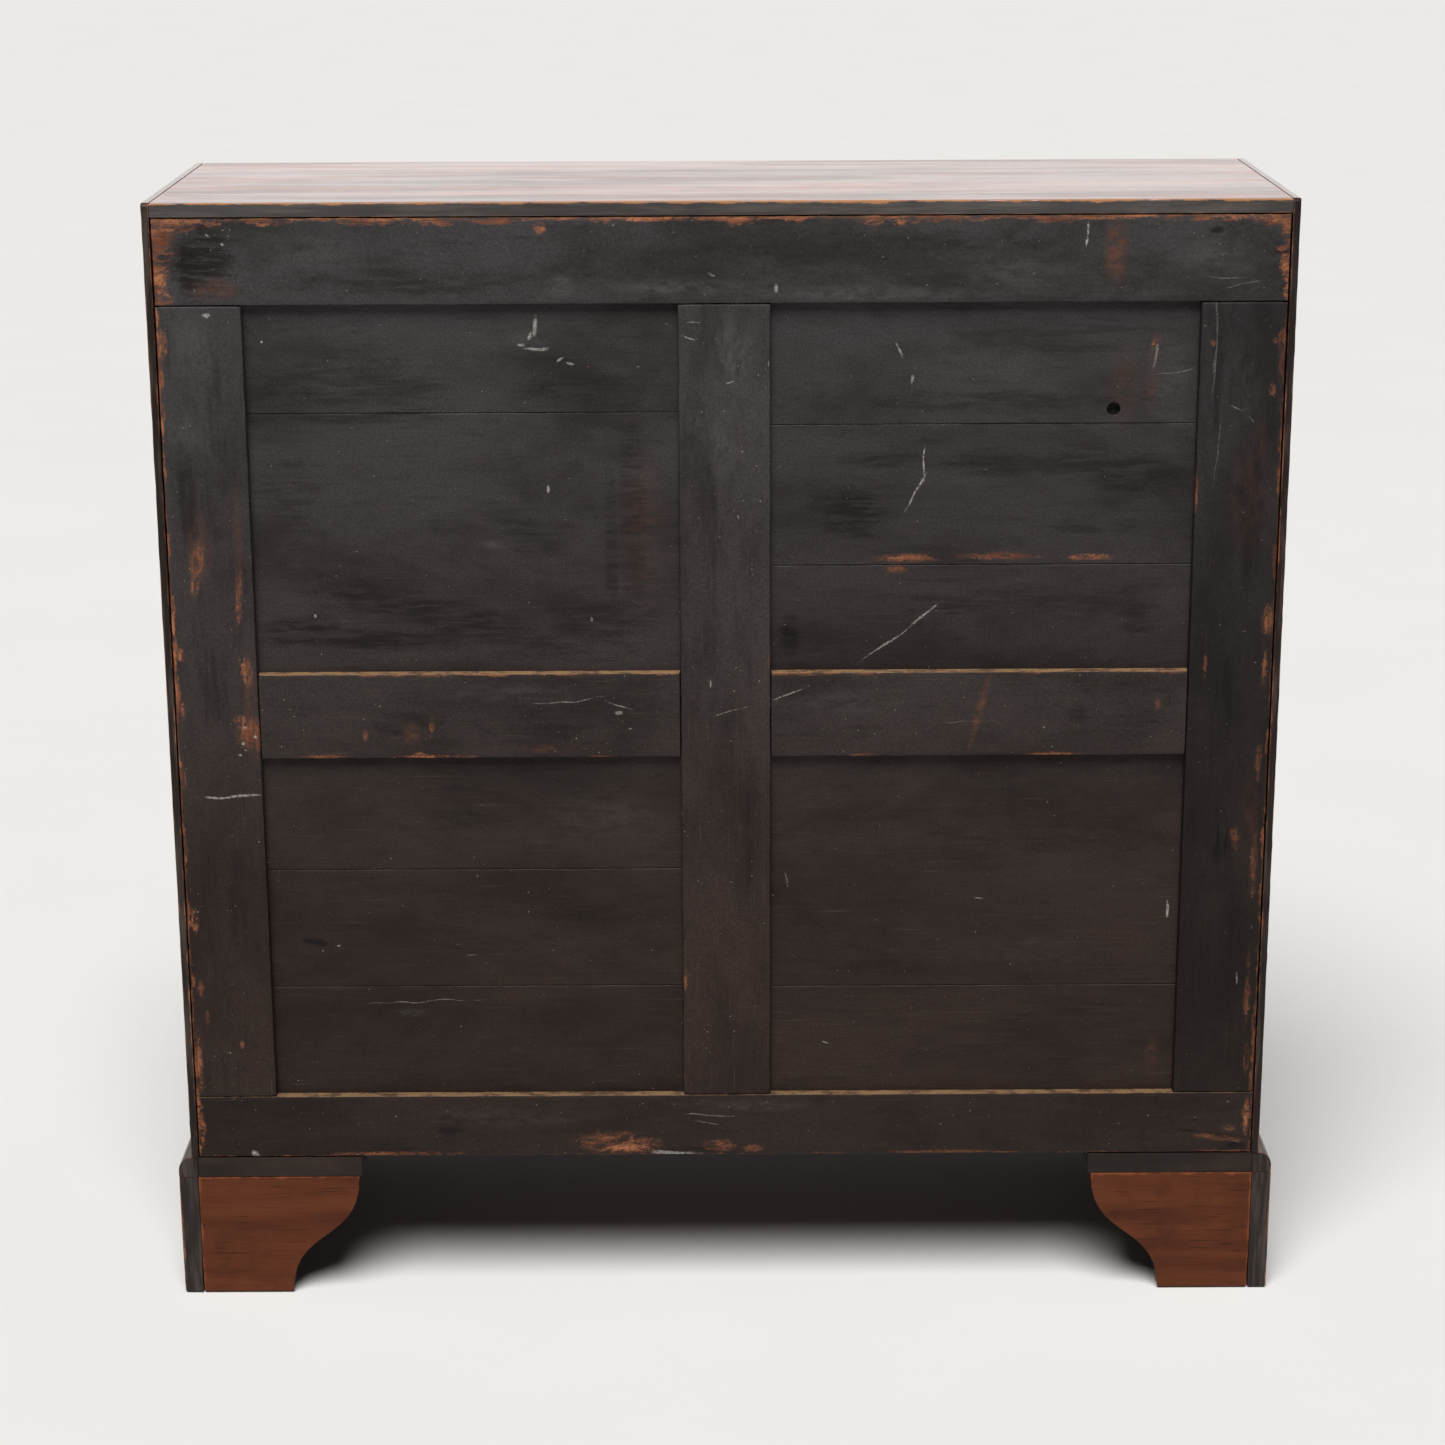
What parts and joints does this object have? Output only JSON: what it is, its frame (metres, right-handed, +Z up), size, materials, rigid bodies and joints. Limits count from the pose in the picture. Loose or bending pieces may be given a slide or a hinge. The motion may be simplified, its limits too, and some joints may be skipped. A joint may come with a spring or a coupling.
{
  "type": "curio cabinet",
  "caption": "Low glazed display cabinet on ogee bracket feet, with locking hinged doors, shelves and a framed, panelled back.",
  "frame": {"origin": "on the floor, under the middle of the whole object's box, the key in its door included", "axes": "+Z up, +Y out of the panelled back, -Y out of the doors, +X towards the right-hand door"},
  "size_m": [1.096, 0.371, 1.1],
  "materials": {
    "mahogany": "polished mahogany",
    "painted_back": "aged black-brown paint on softwood",
    "rough_wood": "bare sawn wood",
    "glass": "clear",
    "brass": "tarnished",
    "iron": "dark, rubbed"
  },
  "bodies": {
    "case": {"side_left": "mahogany", "side_right": "mahogany", "top_board": "mahogany", "bottom_board": "mahogany", "shelf_lower": "mahogany", "shelf_upper": "mahogany", "back_top_rail": "painted_back", "back_bottom_rail": "painted_back", "back_stile_left": "painted_back", "back_stile_right": "painted_back", "back_muntin": "painted_back", "back_mid_rail_left": "painted_back", "back_mid_rail_right": "painted_back", "back_panel_upper_left": "painted_back", "back_panel_upper_right": "painted_back", "back_panel_lower_left": "painted_back", "back_panel_lower_right": "painted_back", "base_moulding_front": "mahogany", "base_moulding_left": "mahogany", "base_moulding_right": "mahogany", "base_runner_left": "rough_wood", "base_runner_right": "rough_wood", "foot_front_left_front_bracket": "mahogany", "foot_front_left_side_bracket": "mahogany", "foot_front_left_glue_block": "rough_wood", "foot_front_right_front_bracket": "mahogany", "foot_front_right_side_bracket": "mahogany", "foot_front_right_glue_block": "rough_wood", "foot_rear_left_rear_bracket": "mahogany", "foot_rear_left_side_bracket": "mahogany", "foot_rear_left_glue_block": "rough_wood", "foot_rear_right_rear_bracket": "mahogany", "foot_rear_right_side_bracket": "mahogany", "foot_rear_right_glue_block": "rough_wood", "left_door_lower_hinge_case_leaf": "brass", "left_door_upper_hinge_case_leaf": "brass", "right_door_lower_hinge_case_leaf": "brass", "right_door_upper_hinge_case_leaf": "brass"},
    "left_door": {"left_door_hinge_stile": "mahogany", "left_door_meeting_stile": "mahogany", "left_door_top_rail": "mahogany", "left_door_bottom_rail": "mahogany", "left_door_glass": "glass", "left_door_glazing_bars": "mahogany", "left_door_lower_hinge_door_leaf": "brass", "left_door_upper_hinge_door_leaf": "brass", "left_door_bolt_plate": "brass"},
    "right_door": {"right_door_hinge_stile": "mahogany", "right_door_meeting_stile": "mahogany", "right_door_top_rail": "mahogany", "right_door_bottom_rail": "mahogany", "right_door_glass": "glass", "right_door_glazing_bars": "mahogany", "right_door_lower_hinge_door_leaf": "brass", "right_door_upper_hinge_door_leaf": "brass", "right_door_escutcheon": "brass", "lock_case": "iron"},
    "lock_bolt": {"lock_bolt": "brass"},
    "key": {"key": "iron"},
    "left_door_bolt": {"left_door_bolt": "brass"}
  },
  "joints": [
    {"name": "left_door_hinge", "type": "hinge", "parent": "case", "child": "left_door", "pos_m": [-0.51425, -0.152, 0.6235], "axis": [0, 0, -1], "range_deg": [0, 175]},
    {"name": "right_door_hinge", "type": "hinge", "parent": "case", "child": "right_door", "pos_m": [0.51425, -0.152, 0.6235], "axis": [0, 0, 1], "range_deg": [0, 175]},
    {"name": "key_turn", "type": "hinge", "parent": "right_door", "child": "key", "pos_m": [0.024, -0.1495, 0.62], "axis": [0, -1, 0], "range_deg": [0, 180]},
    {"name": "lock_bolt_slide", "type": "slide", "parent": "right_door", "child": "lock_bolt", "axis": [-1, 0, 0], "range_m": [0, 0.007]},
    {"name": "left_door_bolt_slide", "type": "slide", "parent": "left_door", "child": "left_door_bolt", "axis": [0, 0, 1], "range_m": [0, 0.009]}
  ],
  "couplings": [
    {"joint": "key_turn", "follows": "lock_bolt_slide", "rad_per_m": 448.79}
  ]
}
